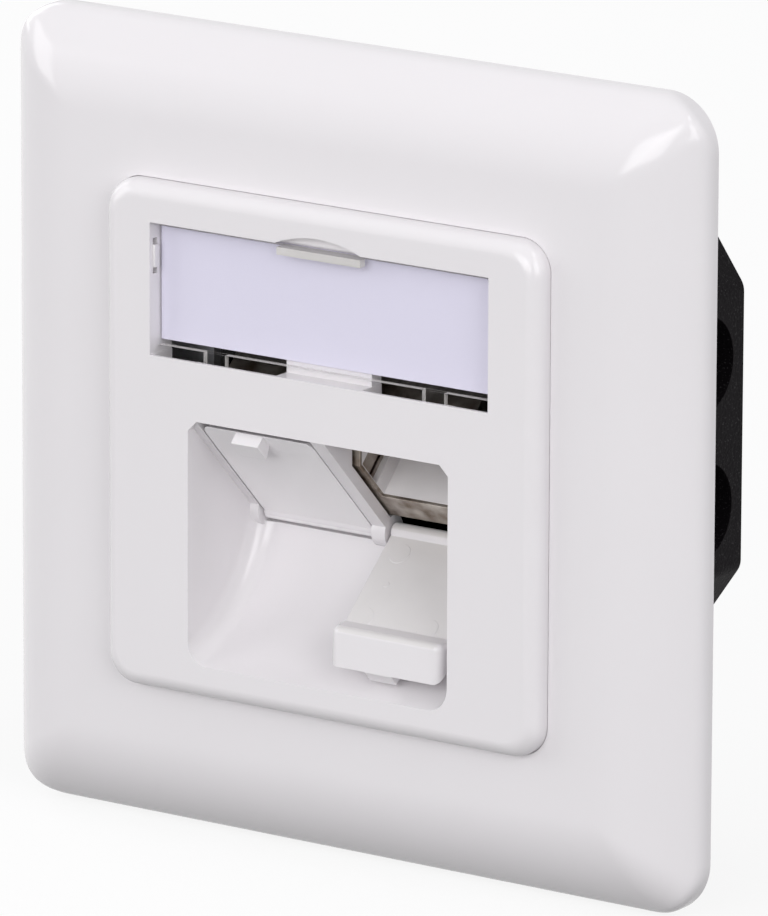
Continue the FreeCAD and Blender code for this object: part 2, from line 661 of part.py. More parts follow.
# Dust flaps, drawn closed in the tilted frame. The free end is a wedge with a level top.
def make_dust_flap(name, sign, turn):
    flap = new_body("dust_flap_" + name)
    bar_w = "(dims.flap_bar * cos(dims.tilt) - dims.flap_outer)"
    bar_v = "(%s - dims.flap_bar * sin(dims.tilt))" % TIP_UP
    drop = "((%s - dims.flap_inner) / tan(dims.tilt))" % bar_w
    panel = new_sketch(flap, "panel_" + name, "YZ_Plane")
    outline(panel, [
        ("-dims.flap_outer", "0"), ("dims.flap_inner", "0"), ("dims.flap_inner", "%s - %s" % (bar_v, drop)),
        (bar_w, bar_v), ("-dims.flap_outer", TIP_UP)])
    pad(panel, "dims.flap_width", both_ways=True)
    round_edges(flap, "dims.flap_corner", lambda edge: is_flap_corner(edge, bar_w, bar_v))
    barrel = circle(new_sketch(flap, "barrel_" + name, "YZ_Plane"), "0", "0", "dims.barrel_radius")
    pad(barrel, "dims.flap_width", both_ways=True)
    pins = circle(new_sketch(flap, "pins_" + name, "YZ_Plane"), "0", "0", "dims.pin_radius")
    pad(pins, "dims.flap_width + 2 * dims.pin_length", both_ways=True)
    tab = new_sketch(flap, "tab_" + name, "YZ_Plane", "dims.tab_offset")
    reach = "(-dims.flap_outer - dims.tab_reach)"
    outline(tab, [
        (reach, "%s - dims.tab_reach * tan(90 - dims.tilt) - dims.tab_thickness" % TIP_UP),
        ("0", "%s - dims.tab_thickness - dims.flap_outer" % TIP_UP), ("0", "%s - dims.flap_outer" % TIP_UP),
        ("-dims.flap_outer", TIP_UP), (reach, TIP_UP)])
    pad(tab, "dims.tab_width", both_ways=True)
    set_on_tilt(flap, sign + "dims.port_place", turn)


def is_flap_corner(edge, bar_w, bar_v):
    """The two edges at the sides of the flap's level end."""
    box = edge.BoundBox
    return spans(edge, 0) < 1e-6 and near(box.YMax, bar_w) and near(box.ZMin, bar_v)


# Jacks: a folded metal shell round a plastic insert with eight bent spring contacts.
def jack_outline(sketch, skin):
    """The jack from the side, inset by the skin. Its upper front is cut upright behind the flap."""
    front = "(dims.jack_front + %s)" % skin
    cut = "(%s + %s)" % (JACK_CUT, skin)
    top = "(dims.jack_top - %s)" % skin
    return outline(sketch, [
        (front, "dims.jack_bottom + " + skin), ("dims.jack_back - " + skin, "dims.jack_bottom + " + skin),
        ("dims.jack_back - " + skin, top),
        ("(%s - dims.hinge_y + %s * sin(dims.tilt)) / cos(dims.tilt)" % (cut, top), top),
        (front, up_jack(front, cut))])


def cut_mouth(body, name, deep):
    mouth = new_sketch(body, "mouth_" + name, "YZ_Plane")
    rectangle(mouth, "0", deep, "dims.cavity_bottom", "dims.cavity_top")
    pocket(mouth, "2 * dims.cavity_half", both_ways=True)
    keyway = new_sketch(body, "keyway_" + name, "YZ_Plane")
    rectangle(keyway, "0", deep, "dims.cavity_bottom", "dims.keyway_top")
    pocket(keyway, "2 * dims.keyway_half", both_ways=True)


def make_jack(name, sign):
    place = sign + "dims.port_place"
    shell = new_body("jack_shell_" + name)
    side = jack_outline(new_sketch(shell, "shell_" + name, "YZ_Plane"), "0")
    pad(side, "2 * dims.jack_half", both_ways=True)
    inside = jack_outline(new_sketch(shell, "shell_inside_" + name, "YZ_Plane"), "dims.shell_sheet")
    pocket(inside, "2 * (dims.jack_half - dims.shell_sheet)", both_ways=True)
    cut_mouth(shell, "shell_" + name, "dims.jack_front + dims.keyway_top / 2")
    slit, start, end = "dims.finger_slit", "dims.finger_start", "dims.finger_end"
    low, high = "dims.finger_low", "dims.finger_high"
    finger = new_sketch(shell, "spring_finger_" + name, "YZ_Plane")
    outline(finger, [
        (start, low), (end, low), (end, high), (start, high), (start, "%s - %s" % (high, slit)),
        ("%s - %s" % (end, slit), "%s - %s" % (high, slit)),
        ("%s - %s" % (end, slit), "%s + %s" % (low, slit)), (start, "%s + %s" % (low, slit))])
    pocket(finger, "2 * dims.jack_half", both_ways=True)
    foot = new_sketch(shell, "shell_foot_" + name, "XY_Plane", "dims.jack_bottom")
    rectangle(foot, "-dims.cavity_half", "dims.cavity_half", "dims.contact_front - dims.contact_sheet",
              "dims.jack_back - 2 * dims.shell_sheet")
    pocket(foot, "2 * dims.shell_sheet", reverse=True)
    set_on_tilt(shell, place)

    insert = new_body("jack_insert_" + name)
    skin = "dims.shell_sheet"
    pad(jack_outline(new_sketch(insert, "insert_" + name, "YZ_Plane"), skin),
        "2 * (dims.jack_half - %s)" % skin, both_ways=True)
    cut_mouth(insert, "insert_" + name, "dims.cavity_depth")
    pin_back = "dims.contact_pin + dims.contact_sheet + dims.contact_clear"
    slot_width = "(dims.contact_width + 2 * dims.contact_clear)"
    slot = new_sketch(insert, "contact_slot_" + name, "XY_Plane", "dims.cavity_bottom")
    strip(slot, contact_place(0), slot_width, "dims.contact_front - dims.contact_clear", pin_back)
    contact_row(insert, pocket(slot, "dims.cavity_bottom - dims.contact_level"))
    way = new_sketch(insert, "pin_way_" + name, "XY_Plane", "dims.contact_level")
    strip(way, contact_place(0), slot_width, "dims.contact_pin - dims.contact_clear", pin_back)
    contact_row(insert, pocket(way, "dims.contact_level - dims.jack_bottom"))
    window = new_sketch(insert, "finger_window_" + name, "YZ_Plane")
    rectangle(window, "dims.finger_start - dims.finger_slit", "dims.finger_end + dims.finger_slit",
              "dims.finger_low - dims.finger_slit", "dims.finger_high + dims.finger_slit")
    pocket(window, "2 * dims.jack_half", both_ways=True)
    set_on_tilt(insert, place)

    springs = new_body("jack_contacts_" + name)
    spring = new_sketch(springs, "contact_" + name, "YZ_Plane", contact_place(0))
    base, gauge, front = "dims.contact_level", "dims.contact_sheet", "dims.contact_front"
    run = "dims.contact_rise / tan(dims.contact_angle)"
    outline(spring, [
        ("dims.contact_pin", "%s + dims.pin_setback" % BOARD_BOTTOM),
        ("dims.contact_pin + " + gauge, "%s + dims.pin_setback" % BOARD_BOTTOM),
        ("dims.contact_pin + " + gauge, base + " + " + gauge),
        ("%s + %s * (sin(dims.contact_angle) + (1 + cos(dims.contact_angle)) / tan(dims.contact_angle))"
         % (front, gauge), base + " + " + gauge),
        ("%s + %s + %s * sin(dims.contact_angle)" % (front, run, gauge),
         "%s + dims.contact_rise - %s * cos(dims.contact_angle)" % (base, gauge)),
        ("%s + %s" % (front, run), base + " + dims.contact_rise"),
        (front, base), ("dims.contact_pin", base)])
    contact_row(springs, pad(spring, "dims.contact_width", both_ways=True))
    set_on_tilt(springs, place)


CONTACTS = 8
BOARD_BOTTOM = "(dims.jack_bottom - dims.board_thickness)"


def contact_row(body, first):
    repeat(body, first, "%d * dims.contact_pitch" % (CONTACTS - 1), CONTACTS)


def contact_place(index):
    return "(%.1f * dims.contact_pitch)" % (index - (CONTACTS - 1) / 2)


# Circuit board under the jacks, with the wire terminals on its other face.
WIRE_COLUMNS = 4
BOARD_HALF = "(dims.housing_half - dims.housing_wall - dims.board_clear)"
LEDGE_INNER = "(dims.block_place + dims.block_half + dims.ledge_clear)"
BOARD_SCREW_PLACE = "((%s + %s) / 2)" % (BOARD_HALF, LEDGE_INNER)
ROW_MIDDLE = "((dims.block_front + dims.block_back) / 2)"
ROWS = ("(%s - dims.row_half)" % ROW_MIDDLE, "(%s + dims.row_half)" % ROW_MIDDLE)
BLOCK_END = "(%s - dims.block_height)" % BOARD_BOTTOM


def wire_place(index):
    return "(%.1f * dims.wire_pitch)" % (index - (WIRE_COLUMNS - 1) / 2)


def make_circuit_board():
    board = new_body("circuit_board")
    panel = new_sketch(board, "board_panel", "XY_Plane", BOARD_BOTTOM)
    rectangle(panel, "-" + BOARD_HALF, BOARD_HALF, "dims.board_front", "dims.board_back")
    pad(panel, "dims.board_thickness")
    drill = new_sketch(board, "screw_holes", "XY_Plane", "dims.jack_bottom")
    for name, sign in SIDES:
        circle(drill, sign + BOARD_SCREW_PLACE, "dims.board_screw_depth",
               "dims.small_screw_radius + dims.screw_clear")
    pocket(drill, "dims.board_thickness")
    for name, sign in SIDES:
        pin_slots(board, "contact_holes_" + name, "%sdims.port_place + %s" % (sign, contact_place(0)),
                  "dims.contact_pin + dims.contact_sheet / 2", "dims.contact_pitch", CONTACTS)
        for row, level in enumerate(ROWS):
            first = "%sdims.block_place + %s" % (sign, wire_place(0))
            pin_slots(board, "blade_holes_%s_%d" % (name, row), first, level, "dims.wire_pitch", WIRE_COLUMNS)
    set_on_tilt(board)


def pin_slots(board, name, across, along, pitch, count):
    """A row of small plated slots through the board for solder pins."""
    slot, half = new_sketch(board, name, "XY_Plane", "dims.jack_bottom"), "dims.pin_slot / 2"
    strip(slot, across, "dims.pin_slot", "%s - %s" % (along, half), "%s + %s" % (along, half))
    repeat(board, pocket(slot, "dims.board_thickness"), "%d * %s" % (count - 1, pitch), count)


def make_board_screws():
    screws = new_body("board_screws")
    heads = new_sketch(screws, "board_screw_heads", "XY_Plane", "dims.jack_bottom")
    shanks = new_sketch(screws, "board_screw_shanks", "XY_Plane", "dims.jack_bottom")
    for name, sign in SIDES:
        spot = (sign + BOARD_SCREW_PLACE, "dims.board_screw_depth")
        circle(heads, *spot, "dims.small_head_radius")
        circle(shanks, *spot, "dims.small_screw_radius")
    pad(heads, "dims.small_head_height")
    pad(shanks, "dims.board_thickness + dims.ledge_drop / 2", reverse=True)
    set_on_tilt(screws)


def make_terminals(name, sign):
    place = sign + "dims.block_place"
    block = new_body("terminal_block_" + name)
    base = new_sketch(block, "block_" + name, "XY_Plane", BOARD_BOTTOM)
    rectangle(base, "-dims.block_half", "dims.block_half", "dims.block_front", "dims.block_back")
    pad(base, "dims.block_height", reverse=True)
    slots = new_sketch(block, "wire_slots_" + name, "XY_Plane", BLOCK_END)
    for index in range(WIRE_COLUMNS):
        strip(slots, wire_place(index), "dims.wire_slot",
              "dims.block_front - dims.margin", "dims.block_back + dims.margin")
    pocket(slots, "dims.wire_slot_depth", reverse=True)
    seats = new_sketch(block, "blade_seats_" + name, "XY_Plane", BLOCK_END)
    for row in ROWS:
        for index in range(WIRE_COLUMNS):
            blade_section(seats, index, row, "dims.blade_clear")
    pocket(seats, "dims.block_height", reverse=True)
    set_on_tilt(block, place)

    blades = new_body("terminal_blades_" + name)
    bodies = new_sketch(blades, "blades_" + name, "XY_Plane", BOARD_BOTTOM)
    for row in ROWS:
        for index in range(WIRE_COLUMNS):
            blade_section(bodies, index, row, "0")
    pad(bodies, "dims.blade_rise", reverse=True)
    forks = new_sketch(blades, "forks_" + name, "XY_Plane", "%s - dims.blade_rise" % BOARD_BOTTOM)
    for index in range(WIRE_COLUMNS):
        strip(forks, wire_place(index), "dims.blade_fork", "dims.block_front", "dims.block_back")
    pocket(forks, "dims.blade_fork_depth", reverse=True)
    pins = new_sketch(blades, "blade_pins_" + name, "XY_Plane", BOARD_BOTTOM)
    for row in ROWS:
        for index in range(WIRE_COLUMNS):
            strip(pins, wire_place(index), "dims.blade_sheet",
                  row + " - dims.blade_sheet / 2", row + " + dims.blade_sheet / 2")
    pad(pins, "dims.board_thickness - dims.pin_setback")
    set_on_tilt(blades, place)


def blade_section(sketch, index, row, clear):
    along = "(dims.blade_sheet / 2 + %s)" % clear
    strip(sketch, wire_place(index), "(dims.blade_width + 2 * %s)" % clear,
          "%s - %s" % (row, along), "%s + %s" % (row, along))


# Support plate in the wall plane, pierced for the well and the jacks.
WINDOW_TOP = ("(dims.hinge_z + (dims.jack_top * sin(dims.tilt) - dims.hinge_y) * tan(dims.tilt) + "
              "dims.jack_top * cos(dims.tilt) + dims.support_gap)")


def make_support_plate():
    plate = new_body("support_plate")
    half = "(%s - dims.support_inset)" % CORE_HALF
    inner = "(%s - dims.support_cut)" % half
    blank = new_sketch(plate, "support_blank", "XZ_Plane")
    outline(blank, [
        ("-" + inner, "-" + half), (inner, "-" + half), (half, "-" + inner), (half, inner),
        (inner, half), ("-" + inner, half), ("-" + half, inner), ("-" + half, "-" + inner)])
    pad(blank, "dims.sheet")
    collar = new_sketch(plate, "thread_collar", "XZ_Plane")
    circle(collar, "0", "dims.screw_place", "dims.screw_radius + dims.sheet")
    pad(collar, "dims.sheet", reverse=True)
    cuts = new_sketch(plate, "support_cuts", "XZ_Plane", "dims.sheet")
    edge = "(%s + dims.support_gap)" % LUG_OUTER
    rectangle(cuts, "-" + edge, edge, "dims.recess_bottom - dims.well_wall - dims.support_gap", WINDOW_TOP)
    circle(cuts, "0", "dims.screw_place", "dims.screw_radius + dims.screw_clear")
    flat = "(dims.slot_length - dims.slot_width) / 2"
    for name, sign in SIDES:
        middle = sign + "dims.box_screw_place"
        rectangle(cuts, "%s - %s" % (middle, flat), "%s + %s" % (middle, flat),
                  "-dims.slot_width / 2", "dims.slot_width / 2")
    for spot in HOUSING_SCREWS:
        circle(cuts, *spot, "dims.small_screw_radius + 2 * dims.screw_clear")
    pocket(cuts, "2 * dims.sheet")
    ends = new_sketch(plate, "slot_ends", "XZ_Plane", "dims.sheet")
    for name, sign in SIDES:
        for way in ("-", "+"):
            circle(ends, "%sdims.box_screw_place %s %s" % (sign, way, flat), "0", "dims.slot_width / 2")
    pocket(ends, "dims.sheet")


HOUSING_SCREWS = [
    (x + "(dims.housing_half - dims.housing_screw_inset)",
     "dims.housing_centre %s (dims.side_half + dims.housing_screw_rise)" % z)
    for x, z in (("-", "+"), ("", "-"))]


def make_housing_screws():
    screws = new_body("housing_screws")
    heads = new_sketch(screws, "housing_screw_heads", "XZ_Plane", "dims.sheet")
    shanks = new_sketch(screws, "housing_screw_shanks", "XZ_Plane", "dims.sheet")
    for spot in HOUSING_SCREWS:
        circle(heads, *spot, "dims.small_head_radius")
        circle(shanks, *spot, "dims.small_screw_radius")
    pad(heads, "dims.small_head_height")
    pad(shanks, "dims.small_screw_length", reverse=True)


def make_plate_screw():
    screw = new_body("plate_screw")
    seat = "%s - dims.screw_head_height - dims.screw_clear" % TRAY_FLOOR
    head = new_sketch(screw, "screw_head_disc", "XZ_Plane", seat)
    circle(head, "0", "dims.screw_place", "dims.screw_head")
    pad(head, "dims.screw_head_height")
    shank = new_sketch(screw, "screw_shank", "XZ_Plane", seat)
    circle(shank, "0", "dims.screw_place", "dims.screw_radius")
    pad(shank, "dims.screw_length", reverse=True)


# Rear housing: an eight-sided cup with cable entries in its right side and ledges for the board.
def housing_outline(sketch, wall):
    rise, run = "(dims.top_half - dims.side_half)", "dims.corner_run"
    slant = "sqrt(%s ^ 2 + %s ^ 2)" % (rise, run)
    side = "(dims.housing_half - %s)" % wall
    high = "(dims.side_half - %s * (%s - %s) / %s)" % (wall, slant, rise, run)
    top = "(dims.top_half - %s)" % wall
    shoulder = "(dims.housing_half - %s - %s * (%s - %s) / %s)" % (run, wall, slant, run, rise)
    corners = ((shoulder, "-", top), (side, "-", high), (side, "+", high), (shoulder, "+", top))
    right = [(x, "dims.housing_centre %s %s" % (way, z)) for x, way, z in corners]
    return outline(sketch, right + [("-" + x, z) for x, z in reversed(right)])


def make_rear_housing():
    housing = new_body("rear_housing")
    block = housing_outline(new_sketch(housing, "housing_block", "XZ_Plane"), "0")
    pad(block, "dims.housing_depth", reverse=True)
    round_edges(housing, "dims.housing_round", lambda edge: spans(edge, 1) > value("dims.housing_depth") / 2)
    bevel_edges(housing, "dims.housing_round / 2",
                lambda edge: spans(edge, 1) < 1e-6 and near(edge.BoundBox.YMax, "dims.housing_depth"))
    pocket(housing_outline(new_sketch(housing, "housing_hollow", "XZ_Plane"), "dims.housing_wall"),
           "dims.housing_depth - dims.housing_wall")
    posts = new_sketch(housing, "housing_posts", "XZ_Plane")
    for spot in HOUSING_SCREWS:
        circle(posts, *spot, "dims.post_radius")
    pad(posts, "dims.post_length", reverse=True)
    for name, sign in SIDES:
        ledge = new_sketch(housing, "ledge_" + name, "YZ_Plane",
                           "%s(%s + dims.housing_half - dims.housing_wall / 2) / 2" % (sign, LEDGE_INNER))
        outline(ledge, [
            tilted("dims.board_front + 2 * dims.board_thickness", BOARD_BOTTOM),
            tilted("dims.board_back", BOARD_BOTTOM),
            tilted("dims.board_back", "%s - dims.ledge_drop" % BOARD_BOTTOM),
            tilted("dims.board_back / 2", "%s - dims.ledge_drop" % BOARD_BOTTOM)])
        pad(ledge, "dims.housing_half - dims.housing_wall / 2 - " + LEDGE_INNER, both_ways=True)
    pilots = new_sketch(housing, "post_pilots", "XZ_Plane")
    for spot in HOUSING_SCREWS:
        circle(pilots, *spot, "dims.small_screw_radius + dims.screw_clear")
    pocket(pilots, "dims.small_screw_length")
    entries = new_sketch(housing, "cable_entries", "YZ_Plane", "dims.housing_half")
    for way in ("-", "+"):
        circle(entries, "dims.housing_depth - dims.entry_inset",
               "dims.housing_centre %s dims.entry_spacing / 2" % way, "dims.entry_radius")
    pocket(entries, "2 * dims.housing_wall")
    add_ledge_pilots(housing)


def add_ledge_pilots(housing):
    """Pilot holes for the board screws, square to the board, as one tilted tool taken away."""
    tool = new_body("ledge_pilots")
    drill = new_sketch(tool, "pilot_drill", "XY_Plane", BOARD_BOTTOM)
    for name, sign in SIDES:
        circle(drill, sign + BOARD_SCREW_PLACE, "dims.board_screw_depth",
               "dims.small_screw_radius + dims.screw_clear")
    pad(drill, "dims.ledge_pilot", reverse=True)
    set_on_tilt(tool)
    doc.recompute()
    drilled = housing.newObject("PartDesign::Boolean", "ledge_drilling")
    drilled.Type = "Cut"
    drilled.setObjects([tool])
    housing.Tip = drilled
    doc.recompute()


make_cover_frame()
make_centre_plate()
make_label_window()
make_label_card()
make_dust_flap("left", "-", "dims.tilt")
make_dust_flap("right", "", "dims.tilt + dims.flap_open_angle")
for name, sign in SIDES:
    make_jack(name, sign)
make_circuit_board()
for name, sign in SIDES:
    make_terminals(name, sign)
make_board_screws()
make_support_plate()
make_rear_housing()
make_housing_screws()
make_plate_screw()

TOOLS = ("frame_core", "ledge_pilots")
doc.recompute()
for item in doc.Objects:
    if any(word in item.State for word in ("Invalid", "Error")):
        raise ValueError("%s is %s" % (item.Name, item.State))
pieces = [item for item in doc.Objects if item.TypeId == "PartDesign::Body" and item.Label not in TOOLS]
for piece in pieces:
    if piece.Shape.isNull() or not piece.Shape.isValid():
        raise ValueError("%s has no valid shape" % piece.Label)
os.makedirs("parts", exist_ok=True)
for piece in pieces:
    piece.Shape.exportStep("parts/%s.step" % piece.Label)
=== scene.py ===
import math

import bmesh
import bpy
from mathutils import Matrix, Vector


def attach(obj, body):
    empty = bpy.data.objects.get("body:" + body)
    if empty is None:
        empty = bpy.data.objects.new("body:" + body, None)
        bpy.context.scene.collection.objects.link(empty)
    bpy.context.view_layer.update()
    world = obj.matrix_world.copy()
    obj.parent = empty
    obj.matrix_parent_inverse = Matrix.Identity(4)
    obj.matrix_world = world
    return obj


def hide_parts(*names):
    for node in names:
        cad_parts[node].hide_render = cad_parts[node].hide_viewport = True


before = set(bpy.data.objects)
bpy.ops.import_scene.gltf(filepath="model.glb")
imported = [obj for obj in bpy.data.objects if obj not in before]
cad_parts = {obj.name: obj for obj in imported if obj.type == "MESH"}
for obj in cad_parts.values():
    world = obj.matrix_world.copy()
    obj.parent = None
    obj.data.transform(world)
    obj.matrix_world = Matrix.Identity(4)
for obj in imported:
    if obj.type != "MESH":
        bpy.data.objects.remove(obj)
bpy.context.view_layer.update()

# Rear housing: an eight-sided cup of black plastic that sits in the round wall box behind the plate.
# It is injection moulded in a tool with a spark-eroded, grainy surface, and takes two screws from the front.
MM = 0.001
WELD = 1e-7
FLAT_ANGLE, SHARP_ANGLE = math.radians(0.5), math.radians(30)


class Signal:
    """One output of a shader node. Sums of signals and numbers add the Math nodes that work them out."""

    def __init__(self, shading, socket):
        self.shading, self.socket = shading, socket

    def combine(self, operation, first, second):
        return self.shading.node("ShaderNodeMath", {"operation": operation}, {0: first, 1: second})

    def __add__(self, other):
        return self.combine("ADD", self, other)

    def __sub__(self, other):
        return self.combine("SUBTRACT", self, other)

    def __rsub__(self, other):
        return self.combine("SUBTRACT", other, self)

    def __mul__(self, other):
        return self.combine("MULTIPLY", self, other)

    __radd__, __rmul__ = __add__, __mul__


class Shading:
    """A tree of shader nodes that ends in the named output node."""

    def __init__(self, tree, output):
        self.tree, self.output = tree, tree.nodes[output]

    def node(self, kind, settings=(), inputs=(), output=0):
        made = self.tree.nodes.new(kind)
        for name, setting in dict(settings).items():
            setattr(made, name, setting)
        for name, given in dict(inputs).items():
            if isinstance(given, Signal):
                self.tree.links.new(given.socket, made.inputs[name])
            else:
                made.inputs[name].default_value = given
        return Signal(self, made.outputs[output])

    def show(self, shader):
        self.tree.links.new(shader.socket, self.output.inputs["Surface"])


class Finish(Shading):
    """A material: one surface shader with fixed settings, and nodes that vary its colour and relief."""

    def __init__(self, name, **fixed):
        self.material = bpy.data.materials.new(name)
        self.material.use_nodes = True
        super().__init__(self.material.node_tree, "Material Output")
        self.surface = self.tree.nodes["Principled BSDF"]
        for words, setting in fixed.items():
            self.surface.inputs[words.replace("_", " ")].default_value = setting

    def feed(self, socket, signal):
        self.tree.links.new(signal.socket, self.surface.inputs[socket])

    def noise(self, grain, detail=2.0, stretch=(1, 1, 1)):
        """Noise between 0 and 1 whose grains are about this many millimetres across."""
        place = self.node("ShaderNodeTexCoord", output="Object")
        place = self.node("ShaderNodeMapping", {}, {"Vector": place, "Scale": stretch})
        scale = 1 / (grain * MM)
        return self.node("ShaderNodeTexNoise", {}, {"Vector": place, "Scale": scale, "Detail": detail})

    def between(self, share, low, high):
        return self.node("ShaderNodeMix", {"data_type": "RGBA"}, {0: share, 6: (*low, 1), 7: (*high, 1)}, 2)

    def relief(self, height, depth):
        """Bumps the surface by a signal, which stands for this many millimetres at 1."""
        self.feed("Normal", self.node("ShaderNodeBump", {}, {"Height": height, "Distance": depth * MM}))


def shape_of(node):
    """A copy of a node's mesh, to be worked on."""
    shape = bmesh.new()
    shape.from_mesh(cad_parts[node].data)
    return shape


def soften(shape, radius, steps=2, wanted=lambda edge: True, clamp=True):
    """Joins up the flats of a shape and rounds the sharp edges that are wanted to a radius in millimetres."""
    bmesh.ops.remove_doubles(shape, verts=shape.verts, dist=WELD)
    bmesh.ops.dissolve_limit(shape, angle_limit=FLAT_ANGLE, verts=shape.verts, edges=shape.edges)
    corners = [edge for edge in shape.edges
               if edge.is_manifold and edge.calc_face_angle() > SHARP_ANGLE and wanted(edge)]
    bmesh.ops.bevel(shape, geom=corners, offset=radius * MM, segments=steps, profile=0.5, affect="EDGES",
                    clamp_overlap=clamp)
    for face in shape.faces:
        face.smooth = True


def put(shape, name, finish, body, node):
    """Turns a finished shape into the piece that stands for a node and rides on its body."""
    mesh = bpy.data.meshes.new(name)
    shape.to_mesh(mesh)
    shape.free()
    mesh.materials.append(finish.material)
    piece = bpy.data.objects.new(name, mesh)
    bpy.context.scene.collection.objects.link(piece)
    piece.modifiers.new("even shading", "WEIGHTED_NORMAL").keep_sharp = True
    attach(piece, body)
    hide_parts(node)
    return piece


def as_made(node, name, finish, radius, steps=2):
    """A piece in the node's own shape, with the small edge radius that its making leaves."""
    shape = shape_of(node)
    soften(shape, radius, steps)
    put(shape, name, finish, "outlet", node)


# Pale flecks in the black's colour are painted glints, standing in for the sparkle of the grainy surface.
GLINT_GAIN, GLINT_CUT = 9.0, 5.5
black_moulding = Finish("black_spark_textured_plastic", IOR=1.49, Specular_IOR_Level=0.05)
grain = black_moulding.noise(0.35, detail=3)
painted_glint = black_moulding.noise(0.22, detail=1)
black_moulding.feed("Base Color", black_moulding.between(
    GLINT_GAIN * painted_glint - GLINT_CUT, (0.005, 0.004, 0.005), (0.030, 0.029, 0.030)))
black_moulding.feed("Roughness", 0.46 + 0.2 * grain)
black_moulding.relief(grain, depth=0.06)
as_made("rear_housing", "housing_cup", black_moulding, radius=0.25)

# Circuit board: glass-fibre laminate under green solder resist, cut and drilled, with copper tracks that
# show through as paler lines. It is screwed onto two sloping ledges of the housing, below the jacks.
solder_resist = Finish("green_solder_resist")
weave = solder_resist.noise(0.5, detail=1, stretch=(1, 6, 6))
tracks = solder_resist.node("ShaderNodeTexBrick", {"offset": 0.4}, {
    "Vector": solder_resist.node("ShaderNodeTexCoord", output="Object"),
    "Scale": 300,
    "Mortar Size": 0.03,
    "Color1": (0.018, 0.11, 0.05, 1),
    "Color2": (0.022, 0.125, 0.055, 1),
    "Mortar": (0.05, 0.2, 0.085, 1)})
solder_resist.feed("Base Color", tracks)
solder_resist.feed("Roughness", 0.25 + 0.15 * weave)
solder_resist.relief(weave, depth=0.02)
as_made("circuit_board", "jack_board", solder_resist, radius=0.05, steps=1)

# Wire terminals: two off-white nylon blocks with a slot for each wire, and forked blades of plated bronze
# pressed into them from the board side. The blades' pins are soldered into the board.
nylon = Finish("off_white_nylon", IOR=1.53)
mottle = nylon.noise(2.5, detail=3)
nylon.feed("Base Color", nylon.between(mottle, (0.60, 0.59, 0.55), (0.67, 0.66, 0.62)))
nylon.feed("Roughness", 0.42 + 0.15 * mottle)
gold_plate = Finish("gold_plated_bronze", Metallic=1.0)
tarnish = gold_plate.noise(1.2, detail=4)
gold_plate.feed("Base Color", gold_plate.between(tarnish, (0.62, 0.42, 0.16), (0.82, 0.62, 0.30)))
gold_plate.feed("Roughness", 0.2 + 0.25 * tarnish)
for side in ("left", "right"):
    as_made("terminal_block_" + side, "wire_block_" + side, nylon, radius=0.12)
    as_made("terminal_blades_" + side, "wire_forks_" + side, gold_plate,
            radius=0.03, steps=1)

# Jacks: a shell of nickel-plated sheet, cut, folded and slit for two spring fingers, round a light grey
# insert that holds eight sprung contacts. The shell tilts down behind its flap, and its colour is mottled
# brown at random.
BROWN_MOTTLE_GAIN, BROWN_MOTTLE_CUT = 2.6, 0.8
nickel = Finish("nickel_plated_sheet", Metallic=1.0)
drawn = nickel.noise(0.25, detail=2, stretch=(1, 8, 8))
# Brown mottling at random across the shell's colour.
brown_mottle = nickel.noise(2.2, detail=3)
nickel.feed("Base Color", nickel.between(
    BROWN_MOTTLE_GAIN * brown_mottle - BROWN_MOTTLE_CUT, (0.20, 0.15, 0.11), (0.60, 0.56, 0.51)))
nickel.feed("Roughness", 0.24 + 0.2 * drawn)
nickel.relief(drawn, depth=0.01)
grey_insert = Finish("light_grey_insert", IOR=1.53)
flow = grey_insert.noise(3.0, detail=3)
grey_insert.feed("Base Color", grey_insert.between(flow, (0.76, 0.735, 0.74), (0.84, 0.815, 0.82)))
grey_insert.feed("Roughness", 0.36 + 0.14 * flow)
for side in ("left", "right"):
    as_made("jack_shell_" + side, "jack_can_" + side, nickel, radius=0.06)
    as_made("jack_insert_" + side, "jack_core_" + side, grey_insert, radius=0.1)
    as_made("jack_contacts_" + side, "jack_springs_" + side, gold_plate,
            radius=0.03, steps=1)

# Support plate and screws: zinc-plated steel. The plate is blanked from sheet, pierced and given a threaded
# collar, and lies in the wall plane. The turned screws hold the housing, the board and the centre plate.
zinc = Finish("zinc_plated_steel", Metallic=1.0)
spangle = zinc.noise(2.0, detail=3)
rolled = zinc.noise(0.4, detail=2, stretch=(12, 1, 1))
zinc.feed("Base Color", zinc.between(spangle, (0.50, 0.51, 0.53), (0.64, 0.65, 0.66)))
zinc.feed("Roughness", 0.25 + 0.14 * spangle + 0.1 * rolled)
zinc.relief(rolled, depth=0.008)
as_made("support_plate", "support_sheet", zinc, radius=0.12)
for node in ("housing_screws", "board_screws", "plate_screw"):
    as_made(node, node + "_turned", zinc, radius=0.12)

# Cover frame: the square border, moulded in glossy white plastic. A flat band runs round the opening, a
# bulged bevel falls from it to the outer edge, and the four sides meet in soft mitres. It is hollow behind,
# with a collar round the opening and a ledge under the edge of the centre plate.
OPENING, OPENING_CORNER = 25.03, 3.23
OPENING_ROUND, OPENING_STEPS = 0.06, 5
FRAME_HALF, FRAME_CORNER = 39.6, 5.5
FRAME_FRONT, FLAT_END = 6.2, 30.5
BAND_RINGS = [27.5, 29.5]
BEVEL_RADIUS, BEVEL_STEP, BEVEL_RINGS = 11.334, 0.4, 17
EDGE_ROUND, EDGE_RUN, EDGE_HEIGHT = 2.6, 0.665, 0.7
EDGE_INSETS, EDGE_STEPS = [2.4, 2.0, 1.7, 1.4, 1.1, 0.9], 8
MITRE_SPREAD, MITRE_START = 0.06, 0.1
CORNER_STEPS, SIDE_STEPS = 28, 10
FOOT_ROUND, FRAME_WALL = 0.25, 1.8
CORE_TOP, CORE_RADIUS = FRAME_FRONT - FRAME_WALL, BEVEL_RADIUS - FRAME_WALL
CORE_STEP, CORE_RINGS = 0.8, 10
COLLAR, COLLAR_CORNER, COLLAR_BACK = 27.05, 6.55, 1.2
LEDGE, LEDGE_CORNER, LEDGE_FRONT = 23.25, 2.5, 2.8
CREASE = math.radians(38)


